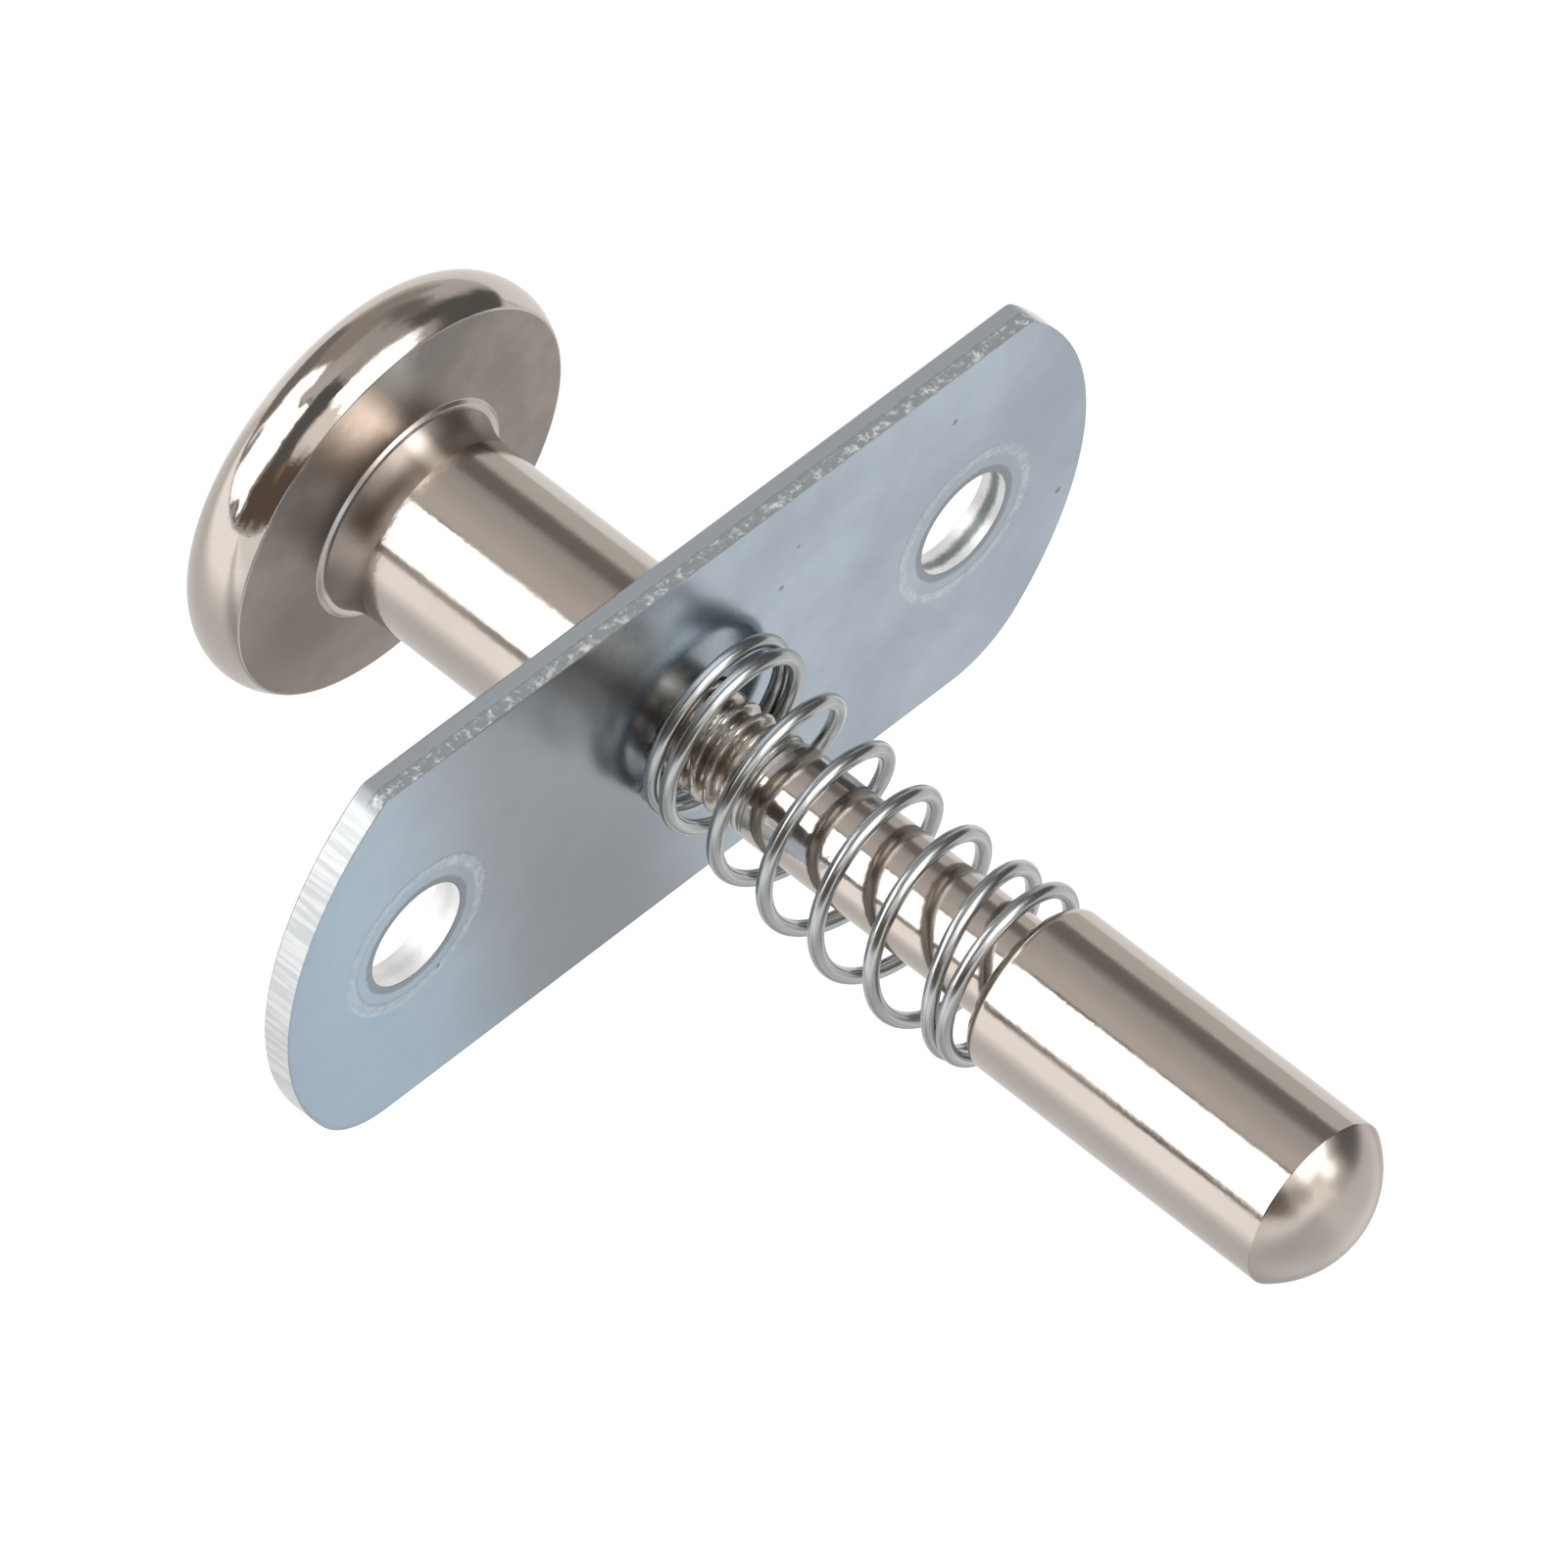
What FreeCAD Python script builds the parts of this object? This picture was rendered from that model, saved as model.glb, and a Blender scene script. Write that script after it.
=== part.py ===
import FreeCAD, Part
import math
import os
import PartDesign
import Sketcher
from FreeCAD import Placement, Rotation, Vector

# Spring-loaded latch pin. The pin's axis is Y, with the nose towards -Y. The flange
# plate stands in the XZ plane, its mounting face at Y = 0 and its length along X.

doc = FreeCAD.newDocument("LatchPin")
sheet = doc.addObject("Spreadsheet::Sheet", "sizes")

# Driving dimensions in millimetres, turns or degrees.
drivingSizes = (
    ("plate_length", 60.0, "flange, tip to tip of its rounded ends"),
    ("plate_width", 26.4, "flange, across its straight sides"),
    ("plate_thickness", 1.8, "flange sheet"),
    ("end_radius", 17.8, "arc of each rounded end"),
    ("corner_radius", 0.8, "where an end arc meets a straight side"),
    ("edge_roll", 0.25, "rolled-over edge that the press leaves on the back face"),
    ("hole_diameter", 6.8, "mounting hole"),
    ("hole_spacing", 41.3, "mounting holes, centre to centre"),
    ("guide_clearance", 0.1, "radial, between the rod and the plate's guide hole"),
    ("nose_diameter", 9.9, "latching end of the pin"),
    ("nose_length", 20.0, "cylinder of the nose, shoulder to dome"),
    ("dome_radius", 5.95, "spherical tip of the nose"),
    ("shoulder_round", 1.3, "rounding of the nose where the spring seats"),
    ("rod_diameter", 6.0, "plain rod behind the nose"),
    ("thread_relief", 0.1, "thread's major diameter, below the rod's"),
    ("thread_reach", 6.2, "thread in front of the plate"),
    ("thread_grip", 12.2, "thread inside the knob"),
    ("rod_chamfer", 0.8, "lead-in at the end of the thread"),
    ("spring_length", 23.4, "plate to shoulder, with the pin out"),
    ("seat_gap", 0.05, "play of the spring at each end"),
    ("wire_diameter", 0.9, "spring wire, drawn with eight sides"),
    ("coil_overhang", 0.3, "mean coil diameter, above the nose's"),
    ("closed_pitch", 0.95, "advance of each closed turn"),
    ("rear_turns", 1.75, "closed turns at the plate"),
    ("open_turns", 5.2, "working turns"),
    ("front_turns", 1.2, "closed turns at the shoulder"),
    ("start_angle", 213.0, "where the wire starts, from +X towards +Z"),
    ("shank_diameter", 11.4, "knob's shank"),
    ("seat_chamfer", 0.3, "edge of the shank's seat"),
    ("crown_height", 26.53, "knob's seat to the top of its domed head"),
    ("neck_height", 2.2, "concave neck under the head"),
    ("neck_flare", 0.7, "radial growth of the neck"),
    ("skirt_rise", 0.6, "rise of the head's shallow conical underside"),
    ("skirt_inset", 0.6, "underside's edge, inside the rim's widest line"),
    ("knob_diameter", 25.4, "knob's head at its widest"),
    ("rim_radius", 3.1, "rounded side of the head"),
    ("crown_rise", 2.4, "top of the domed head, above the rim's highest line"),
    ("bore_spare", 1.2, "tapped bore beyond the thread's end"),
    ("drill_angle", 118.0, "point of the drilled bore"),
)
size = {}
for row, (alias, value, note) in enumerate(drivingSizes, start=1):
    sheet.set(f"A{row}", note)
    sheet.set(f"B{row}", str(value))
    sheet.setAlias(f"B{row}", alias)
    size[alias] = value
doc.recompute()

XAXIS = -1
YAXIS = -2
START, END, CENTRE = 1, 2, 3
sketchNormal = Vector(0, 0, 1)


def newBody(label):
    body = doc.addObject("PartDesign::Body", label)
    body.Label = label
    return body


def newSketch(body, name, role):
    sketch = body.newObject("Sketcher::SketchObject", name)
    plane = next(item for item in body.Origin.OriginFeatures if item.Role == role)
    sketch.AttachmentSupport = (plane, [""])
    sketch.MapMode = "FlatFace"
    return sketch


def line(sketch, x1, y1, x2, y2):
    return sketch.addGeometry(Part.LineSegment(Vector(x1, y1, 0), Vector(x2, y2, 0)), False)


def arc(sketch, x, y, radius, fromAngle, toAngle):
    circle = Part.Circle(Vector(x, y, 0), sketchNormal, radius)
    return sketch.addGeometry(Part.ArcOfCircle(circle, fromAngle, toAngle), False)


def circle(sketch, x, y, radius):
    return sketch.addGeometry(Part.Circle(Vector(x, y, 0), sketchNormal, radius), False)


def fix(sketch, kind, *arguments):
    return sketch.addConstraint(Sketcher.Constraint(kind, *arguments))


def drive(sketch, name, formula, kind, *arguments):
    """Adds a dimension and ties it to the sheet."""
    index = fix(sketch, kind, *arguments)
    sketch.renameConstraint(index, name)
    sketch.setExpression(f"Constraints.{name}", formula)


def joinLoop(sketch, ends):
    """Joins each (geometry, point) pair to the next and closes the loop."""
    for first, second in ends:
        fix(sketch, "Coincident", *first, *second)


def revolve(body, sketch, name, kind="PartDesign::Revolution"):
    turned = body.newObject(kind, name)
    turned.Profile = sketch
    turned.ReferenceAxis = (sketch, ["V_Axis"])
    turned.Angle = 360
    doc.recompute()
    return turned


def roundEdges(body, base, name, kind, chosen, formula):
    """Fillets or chamfers the edges of a feature that pass the test chosen(edge)."""
    names = [f"Edge{i}" for i, edge in enumerate(base.Shape.Edges, start=1)
             if not edge.Degenerated and chosen(edge)]
    dressed = body.newObject(kind, name)
    dressed.Base = (base, names)
    if kind == "PartDesign::Fillet":
        dressed.setExpression("Radius", formula)
    else:
        dressed.setExpression("Size", formula)
    doc.recompute()
    return dressed


def ringEdge(radius, height):
    """Picks the circle about the Y axis with this radius, at this local height."""
    def chosen(edge):
        curve = edge.Curve
        return (isinstance(curve, Part.Circle) and abs(curve.Radius - radius) < 1e-4
                and abs(curve.Center.y - height) < 1e-4)
    return chosen


# Plate: blanked from sheet, with bowed ends, two mounting holes and a guide hole.
plate = newBody("plate")
halfWidth = size["plate_width"] / 2
endCentre = size["plate_length"] / 2 - size["end_radius"]
endAngle = math.asin(halfWidth / size["end_radius"])
cornerX = endCentre + size["end_radius"] * math.cos(endAngle)

outline = newSketch(plate, "plateOutline", "XZ_Plane")
top = line(outline, cornerX, halfWidth, -cornerX, halfWidth)
leftEnd = arc(outline, -endCentre, 0, size["end_radius"], math.pi - endAngle, math.pi + endAngle)
bottom = line(outline, -cornerX, -halfWidth, cornerX, -halfWidth)
rightEnd = arc(outline, endCentre, 0, size["end_radius"], -endAngle, endAngle)
joinLoop(outline, (((top, END), (leftEnd, START)), ((leftEnd, END), (bottom, START)),
                   ((bottom, END), (rightEnd, START)), ((rightEnd, END), (top, START))))
fix(outline, "Horizontal", top)
fix(outline, "Horizontal", bottom)
fix(outline, "PointOnObject", rightEnd, CENTRE, XAXIS)
fix(outline, "Symmetric", rightEnd, CENTRE, leftEnd, CENTRE, -1, 1)
fix(outline, "Equal", rightEnd, leftEnd)
fix(outline, "Symmetric", rightEnd, END, rightEnd, START, XAXIS)
drive(outline, "endRadius", "sizes.end_radius", "Radius", rightEnd, size["end_radius"])
drive(outline, "endCentre", "sizes.plate_length / 2 - sizes.end_radius",
      "DistanceX", -1, 1, rightEnd, CENTRE, endCentre)
drive(outline, "halfWidth", "sizes.plate_width / 2", "DistanceY", -1, 1, top, START, halfWidth)

sheetMetal = plate.newObject("PartDesign::Pad", "sheetMetal")
sheetMetal.Profile = outline
sheetMetal.Reversed = True
sheetMetal.setExpression("Length", "sizes.plate_thickness")
doc.recompute()


def acrossSheet(edge):
    direction = edge.Vertexes[0].Point - edge.Vertexes[-1].Point
    return isinstance(edge.Curve, Part.Line) and abs(direction.x) + abs(direction.z) < 1e-6


corners = roundEdges(plate, sheetMetal, "corners", "PartDesign::Fillet", acrossSheet,
                     "sizes.corner_radius")


def onBackFace(edge):
    return abs(edge.CenterOfMass.y - size["plate_thickness"]) < 1e-6


rolled = roundEdges(plate, corners, "rolledEdge", "PartDesign::Fillet", onBackFace,
                    "sizes.edge_roll")

guiding = newSketch(plate, "guideCircle", "XZ_Plane")
guideCircle = circle(guiding, 0, 0, size["rod_diameter"] / 2 + size["guide_clearance"])
fix(guiding, "Coincident", guideCircle, CENTRE, -1, 1)
drive(guiding, "guideRadius", "sizes.rod_diameter / 2 + sizes.guide_clearance",
      "Radius", guideCircle, size["rod_diameter"] / 2 + size["guide_clearance"])
guideHole = plate.newObject("PartDesign::Pocket", "guideHole")
guideHole.Profile = guiding
guideHole.Type = "ThroughAll"
guideHole.Midplane = True

mounting = newSketch(plate, "mountingCircle", "XZ_Plane")
mountingCircle = circle(mounting, size["hole_spacing"] / 2, 0, size["hole_diameter"] / 2)
fix(mounting, "PointOnObject", mountingCircle, CENTRE, XAXIS)
drive(mounting, "holeOffset", "sizes.hole_spacing / 2",
      "DistanceX", -1, 1, mountingCircle, CENTRE, size["hole_spacing"] / 2)
drive(mounting, "holeRadius", "sizes.hole_diameter / 2",
      "Radius", mountingCircle, size["hole_diameter"] / 2)
mountingHole = plate.newObject("PartDesign::Pocket", "mountingHole")
mountingHole.Profile = mounting
mountingHole.Type = "ThroughAll"
mountingHole.Midplane = True
doc.recompute()

bothHoles = plate.newObject("PartDesign::Mirrored", "bothHoles")
bothHoles.Originals = [mountingHole]
bothHoles.MirrorPlane = (mounting, ["V_Axis"])
plate.Tip = bothHoles
doc.recompute()

# Pin: turned in one piece, from the tip of its dome at local Y = 0 to the rear end.
pin = newBody("pin")
noseRadius = size["nose_diameter"] / 2
rodRadius = size["rod_diameter"] / 2
threadRadius = (size["rod_diameter"] - size["thread_relief"]) / 2
domeHeight = size["dome_radius"] - math.sqrt(size["dome_radius"] ** 2 - noseRadius ** 2)
shoulderY = domeHeight + size["nose_length"]
threadY = shoulderY + size["spring_length"] - size["thread_reach"]
rearY = shoulderY + size["spring_length"] + size["plate_thickness"] + size["thread_grip"]
domeHeightFormula = ("(sizes.dome_radius - sqrt(sizes.dome_radius ^ 2"
                     " - (sizes.nose_diameter / 2) ^ 2))")
shoulderFormula = domeHeightFormula + " + sizes.nose_length"

turning = newSketch(pin, "pinProfile", "XY_Plane")
dome = arc(turning, 0, size["dome_radius"], size["dome_radius"],
           -math.pi / 2, math.asin((domeHeight - size["dome_radius"]) / size["dome_radius"]))
noseSide = line(turning, noseRadius, domeHeight, noseRadius, shoulderY)
shoulder = line(turning, noseRadius, shoulderY, rodRadius, shoulderY)
rodSide = line(turning, rodRadius, shoulderY, rodRadius, threadY)
threadStep = line(turning, rodRadius, threadY, threadRadius, threadY)
threadSide = line(turning, threadRadius, threadY, threadRadius, rearY)
rearEnd = line(turning, threadRadius, rearY, 0, rearY)
axisLine = line(turning, 0, rearY, 0, 0)
joinLoop(turning, (((dome, END), (noseSide, START)), ((noseSide, END), (shoulder, START)),
                   ((shoulder, END), (rodSide, START)), ((rodSide, END), (threadStep, START)),
                   ((threadStep, END), (threadSide, START)), ((threadSide, END), (rearEnd, START)),
                   ((rearEnd, END), (axisLine, START)), ((axisLine, END), (dome, START))))
fix(turning, "Coincident", dome, START, -1, 1)
fix(turning, "PointOnObject", dome, CENTRE, YAXIS)
for upright in (noseSide, rodSide, threadSide, axisLine):
    fix(turning, "Vertical", upright)
for level in (shoulder, threadStep, rearEnd):
    fix(turning, "Horizontal", level)
drive(turning, "domeRadius", "sizes.dome_radius", "Radius", dome, size["dome_radius"])
drive(turning, "noseRadius", "sizes.nose_diameter / 2",
      "DistanceX", -1, 1, noseSide, START, noseRadius)
drive(turning, "shoulderHeight", shoulderFormula,
      "DistanceY", -1, 1, shoulder, START, shoulderY)
drive(turning, "rodRadius", "sizes.rod_diameter / 2", "DistanceX", -1, 1, rodSide, START, rodRadius)
drive(turning, "threadStart", "sizes.spring_length - sizes.thread_reach",
      "DistanceY", rodSide, START, rodSide, END, threadY - shoulderY)
drive(turning, "threadRadius", "(sizes.rod_diameter - sizes.thread_relief) / 2",
      "DistanceX", -1, 1, threadSide, START, threadRadius)
drive(turning, "threadLength", "sizes.thread_reach + sizes.plate_thickness + sizes.thread_grip",
      "DistanceY", threadSide, START, threadSide, END, rearY - threadY)
turnedPin = revolve(pin, turning, "turnedPin")
softShoulder = roundEdges(pin, turnedPin, "softShoulder", "PartDesign::Fillet",
                          ringEdge(noseRadius, shoulderY), "sizes.shoulder_round")
leadIn = roundEdges(pin, softShoulder, "leadIn", "PartDesign::Chamfer",
                    ringEdge(threadRadius, rearY), "sizes.rod_chamfer")
pin.setExpression("Placement.Base.y", f"-(sizes.spring_length + {shoulderFormula})")
doc.recompute()

# Knob: mushroom head on a shank, turned, drilled and tapped from its seat.
knob = newBody("knob")
shankRadius = size["shank_diameter"] / 2
ringRadius = shankRadius + size["neck_flare"]
rimRise = math.sqrt(size["rim_radius"] ** 2 - (size["rim_radius"] - size["skirt_inset"]) ** 2)
ringY = (size["crown_height"] - size["crown_rise"] - size["rim_radius"] - rimRise
         - size["skirt_rise"])
shankLength = ringY - size["neck_height"]
shankFormula = ("sizes.crown_height - sizes.crown_rise - sizes.rim_radius"
                " - sqrt(sizes.rim_radius ^ 2 - (sizes.rim_radius - sizes.skirt_inset) ^ 2)"
                " - sizes.skirt_rise - sizes.neck_height")
neckRadius = (size["neck_flare"] ** 2 + size["neck_height"] ** 2) / (2 * size["neck_flare"])
skirtRadius = size["knob_diameter"] / 2 - size["skirt_inset"]
skirtY = ringY + size["skirt_rise"]
rimX = size["knob_diameter"] / 2 - size["rim_radius"]
rimY = skirtY + rimRise
crownDrop = size["rim_radius"] + size["crown_rise"]
crownRadius = (rimX ** 2 + crownDrop ** 2 - size["rim_radius"] ** 2) / (2 * size["crown_rise"])
crownTop = rimY + crownDrop
crownY = crownTop - crownRadius
rimTop = math.atan2(rimY - crownY, rimX)

head = newSketch(knob, "knobProfile", "XY_Plane")
seat = line(head, 0, 0, shankRadius, 0)
shankSide = line(head, shankRadius, 0, shankRadius, shankLength)
neck = arc(head, shankRadius + neckRadius, shankLength, neckRadius,
           math.pi - math.asin(size["neck_height"] / neckRadius), math.pi)
skirt = line(head, ringRadius, ringY, skirtRadius, skirtY)
rim = arc(head, rimX, rimY, size["rim_radius"],
          math.atan2(skirtY - rimY, skirtRadius - rimX), rimTop)
crown = arc(head, 0, crownY, crownRadius, rimTop, math.pi / 2)
knobAxis = line(head, 0, crownTop, 0, 0)
joinLoop(head, (((seat, END), (shankSide, START)), ((neck, START), (skirt, START)),
                ((skirt, END), (rim, START)), ((crown, END), (knobAxis, START)),
                ((knobAxis, END), (seat, START))))
fix(head, "Coincident", seat, START, -1, 1)
fix(head, "Horizontal", seat)
fix(head, "Vertical", shankSide)
fix(head, "Vertical", knobAxis)
fix(head, "Tangent", shankSide, END, neck, END)
fix(head, "Tangent", rim, END, crown, START)
fix(head, "PointOnObject", crown, CENTRE, YAXIS)
drive(head, "shankRadius", "sizes.shank_diameter / 2", "DistanceX", -1, 1, seat, END, shankRadius)
drive(head, "shankLength", shankFormula,
      "DistanceY", shankSide, START, shankSide, END, shankLength)
drive(head, "neckFlare", "sizes.neck_flare",
      "DistanceX", shankSide, END, skirt, START, size["neck_flare"])
drive(head, "neckHeight", "sizes.neck_height",
      "DistanceY", shankSide, END, skirt, START, size["neck_height"])
drive(head, "skirtRadius", "sizes.knob_diameter / 2 - sizes.skirt_inset",
      "DistanceX", -1, 1, skirt, END, skirtRadius)
drive(head, "skirtRise", "sizes.skirt_rise",
      "DistanceY", skirt, START, skirt, END, size["skirt_rise"])
drive(head, "rimRadius", "sizes.rim_radius", "Radius", rim, size["rim_radius"])
drive(head, "rimCentre", "sizes.knob_diameter / 2 - sizes.rim_radius",
      "DistanceX", -1, 1, rim, CENTRE, rimX)
drive(head, "crownRise", "sizes.rim_radius + sizes.crown_rise",
      "DistanceY", rim, CENTRE, crown, END, crownDrop)
turnedKnob = revolve(knob, head, "turnedKnob")
softSeat = roundEdges(knob, turnedKnob, "softSeat", "PartDesign::Chamfer",
                      ringEdge(shankRadius, 0), "sizes.seat_chamfer")

boreDepth = size["thread_grip"] + size["bore_spare"]
drillPoint = threadRadius / math.tan(math.radians(size["drill_angle"] / 2))
drilling = newSketch(knob, "boreProfile", "XY_Plane")
mouth = line(drilling, 0, 0, threadRadius, 0)
boreSide = line(drilling, threadRadius, 0, threadRadius, boreDepth)
drillCone = line(drilling, threadRadius, boreDepth, 0, boreDepth + drillPoint)
boreAxis = line(drilling, 0, boreDepth + drillPoint, 0, 0)
joinLoop(drilling, (((mouth, END), (boreSide, START)), ((boreSide, END), (drillCone, START)),
                    ((drillCone, END), (boreAxis, START)), ((boreAxis, END), (mouth, START))))
fix(drilling, "Coincident", mouth, START, -1, 1)
fix(drilling, "Horizontal", mouth)
fix(drilling, "Vertical", boreSide)
fix(drilling, "Vertical", boreAxis)
drive(drilling, "boreRadius", "(sizes.rod_diameter - sizes.thread_relief) / 2",
      "DistanceX", -1, 1, mouth, END, threadRadius)
drive(drilling, "boreDepth", "sizes.thread_grip + sizes.bore_spare",
      "DistanceY", boreSide, START, boreSide, END, boreDepth)
drive(drilling, "drillPoint",
      "(sizes.rod_diameter - sizes.thread_relief) / 2 / tan(sizes.drill_angle / 2 * 1 deg)",
      "DistanceY", drillCone, START, drillCone, END, drillPoint)
bore = revolve(knob, drilling, "tappedBore", "PartDesign::Groove")
knob.setExpression("Placement.Base.y", "sizes.plate_thickness")
doc.recompute()

# Spring: round wire drawn with eight sides, closed at both ends, on the plate's front face.
# Its own Y runs from the plate to the shoulder, so it is turned over about X.
spring = newBody("spring")
coilRadius = (size["nose_diameter"] + size["coil_overhang"]) / 2
wireRadius = size["wire_diameter"] / 2
cornerRadius = wireRadius / math.cos(math.pi / 8)
closedTurns = size["rear_turns"] + size["front_turns"]
openRise = (size["spring_length"] - 2 * size["seat_gap"] - size["wire_diameter"]
            - closedTurns * size["closed_pitch"])
openPitch = openRise / size["open_turns"]
openPitchFormula = ("(sizes.spring_length - 2 * sizes.seat_gap - sizes.wire_diameter"
                    " - (sizes.rear_turns + sizes.front_turns) * sizes.closed_pitch)"
                    " / sizes.open_turns")
startFormula = "sizes.seat_gap + sizes.wire_diameter / 2"
rearRise = " + sizes.rear_turns * sizes.closed_pitch"
openRiseFormula = f" + {openPitchFormula} * sizes.open_turns"
startY = size["seat_gap"] + wireRadius
openY = startY + size["rear_turns"] * size["closed_pitch"]
frontY = openY + openRise


def coilRun(name, height, heightFormula, turnsBefore, turnsFormula, pitchFormula, runFormula):
    """Winds one run of wire from an octagon in the radial plane where the last run ended."""
    section = newSketch(spring, name + "Wire", "XY_Plane")
    angle = (size["start_angle"] + 360 * turnsBefore) % 360
    section.AttachmentOffset = Placement(Vector(0, 0, 0), Rotation(Vector(0, 1, 0), angle))
    section.setExpression("AttachmentOffset.Rotation.Angle",
                          f"mod(sizes.start_angle + 360 * ({turnsFormula}); 360)")
    corner = [(coilRadius + cornerRadius * math.cos((k + 0.5) * math.pi / 4),
               height + cornerRadius * math.sin((k + 0.5) * math.pi / 4)) for k in range(8)]
    sides = [line(section, *corner[k - 1], *corner[k]) for k in range(8)]
    through = circle(section, coilRadius, height, cornerRadius)
    section.toggleConstruction(through)
    joinLoop(section, [((sides[k - 1], END), (sides[k], START)) for k in range(8)])
    for side in sides:
        fix(section, "PointOnObject", side, START, through)
    for side in sides[1:]:
        fix(section, "Equal", sides[0], side)
    fix(section, "Vertical", sides[0])
    drive(section, "coilRadius", "(sizes.nose_diameter + sizes.coil_overhang) / 2",
          "DistanceX", -1, 1, through, CENTRE, coilRadius)
    drive(section, "height", heightFormula, "DistanceY", -1, 1, through, CENTRE, height)
    drive(section, "cornerRadius", "sizes.wire_diameter / 2 / cos(22.5 deg)",
          "Radius", through, cornerRadius)
    doc.recompute()
    run = spring.newObject("PartDesign::AdditiveHelix", name)
    run.Profile = section
    run.ReferenceAxis = (section, ["V_Axis"])
    run.Mode = "pitch-turns-angle"
    run.setExpression("Pitch", pitchFormula)
    run.setExpression("Turns", runFormula)
    doc.recompute()
    return run


coilRun("rearClosed", startY, startFormula, 0, "0", "sizes.closed_pitch", "sizes.rear_turns")
coilRun("working", openY, startFormula + rearRise, size["rear_turns"], "sizes.rear_turns",
        openPitchFormula, "sizes.open_turns")
coilRun("frontClosed", frontY, startFormula + rearRise + openRiseFormula,
        size["rear_turns"] + size["open_turns"], "sizes.rear_turns + sizes.open_turns",
        "sizes.closed_pitch", "sizes.front_turns")
spring.Placement = Placement(Vector(0, 0, 0), Rotation(Vector(1, 0, 0), 180))
doc.recompute()

# Every piece is checked before any is written.
pieces = (plate, spring, pin, knob)
for item in doc.Objects:
    if "Invalid" in item.State or "Error" in item.State:
        raise RuntimeError(f"{item.Label} failed: {item.State}")
for piece in pieces:
    if piece.Shape.isNull() or not piece.Shape.isValid() or len(piece.Shape.Solids) != 1:
        raise RuntimeError(f"{piece.Label} is not one valid solid")

os.makedirs("parts", exist_ok=True)
for piece in pieces:
    piece.Shape.exportStep(f"parts/{piece.Label}.step")
    box = piece.Shape.BoundBox
    print(f"{piece.Label}: volume {piece.Shape.Volume:.1f}"
          f" x {box.XMin:.2f}..{box.XMax:.2f}"
          f" y {box.YMin:.2f}..{box.YMax:.2f}"
          f" z {box.ZMin:.2f}..{box.ZMax:.2f}")
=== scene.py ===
import math

import bmesh
import bpy
import numpy as np
from mathutils import Matrix, Vector


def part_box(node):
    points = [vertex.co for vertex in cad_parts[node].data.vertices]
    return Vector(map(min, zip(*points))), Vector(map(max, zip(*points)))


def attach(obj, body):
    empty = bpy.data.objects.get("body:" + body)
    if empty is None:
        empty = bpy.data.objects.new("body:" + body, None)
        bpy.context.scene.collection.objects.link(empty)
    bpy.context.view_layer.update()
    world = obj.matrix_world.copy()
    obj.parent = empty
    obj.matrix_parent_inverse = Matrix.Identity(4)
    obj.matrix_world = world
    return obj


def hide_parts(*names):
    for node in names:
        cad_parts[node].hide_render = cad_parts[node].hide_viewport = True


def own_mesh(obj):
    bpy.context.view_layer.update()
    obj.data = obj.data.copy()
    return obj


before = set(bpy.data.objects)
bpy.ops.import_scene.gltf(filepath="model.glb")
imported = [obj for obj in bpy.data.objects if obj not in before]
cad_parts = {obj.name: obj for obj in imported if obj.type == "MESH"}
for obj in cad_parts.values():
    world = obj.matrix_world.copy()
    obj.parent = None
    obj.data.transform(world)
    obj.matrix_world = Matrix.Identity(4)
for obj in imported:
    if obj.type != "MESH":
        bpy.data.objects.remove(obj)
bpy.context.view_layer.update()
print("frame loaded")

mm = 0.001
mostNoise = (0.3, 0.7)        # where nearly all values of a noise lie
midNoise = (0.35, 0.65)       # and most of them
smooth = {"interpolation_type": "SMOOTHSTEP"}
# a Mix node then has its share at input 0, its colours at 6 and 7, and the mixture at output 2
inColour = {"data_type": "RGBA"}

meshing = {
    "sharpAngle": 35.0,       # degrees between two faces, above which their edge is sharp
    "flatCorner": 179.0,      # degrees, above which a corner is not rounded
    "longSide": 1.0,          # mm, above which a profile's side gets two more points
    "held": 0.03,             # mm from the side's ends to these points
}


def addObject(name, data):
    # a new object in the scene, at the origin
    piece = bpy.data.objects.new(name, data)
    bpy.context.scene.collection.objects.link(piece)
    return piece


def ringQuads(count, around, first):
    # corners of the quads between rings of points, which are numbered on from the first
    ringStart = first + np.arange(count - 1)[:, None] * around
    here = np.arange(around)[None, :]
    after = (here + 1) % around
    return np.stack([ringStart + here, ringStart + after,
                     ringStart + around + after, ringStart + around + here], -1).reshape(-1, 4)


def newMesh(name, points, quads, triangles):
    # points are in metres, and each quad or triangle is a row of their numbers
    mesh = bpy.data.meshes.new(name)
    mesh.vertices.add(len(points))
    mesh.vertices.foreach_set("co", points.astype(np.float32).ravel())
    corners = np.concatenate([quads.ravel(), triangles.ravel()])
    sizes = np.concatenate([np.full(len(quads), 4), np.full(len(triangles), 3)])
    mesh.loops.add(len(corners))
    mesh.loops.foreach_set("vertex_index", corners.astype(np.int32))
    mesh.polygons.add(len(sizes))
    mesh.polygons.foreach_set("loop_start", (np.cumsum(sizes) - sizes).astype(np.int32))
    mesh.update(calc_edges=True)
    mesh.validate()
    return mesh


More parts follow.
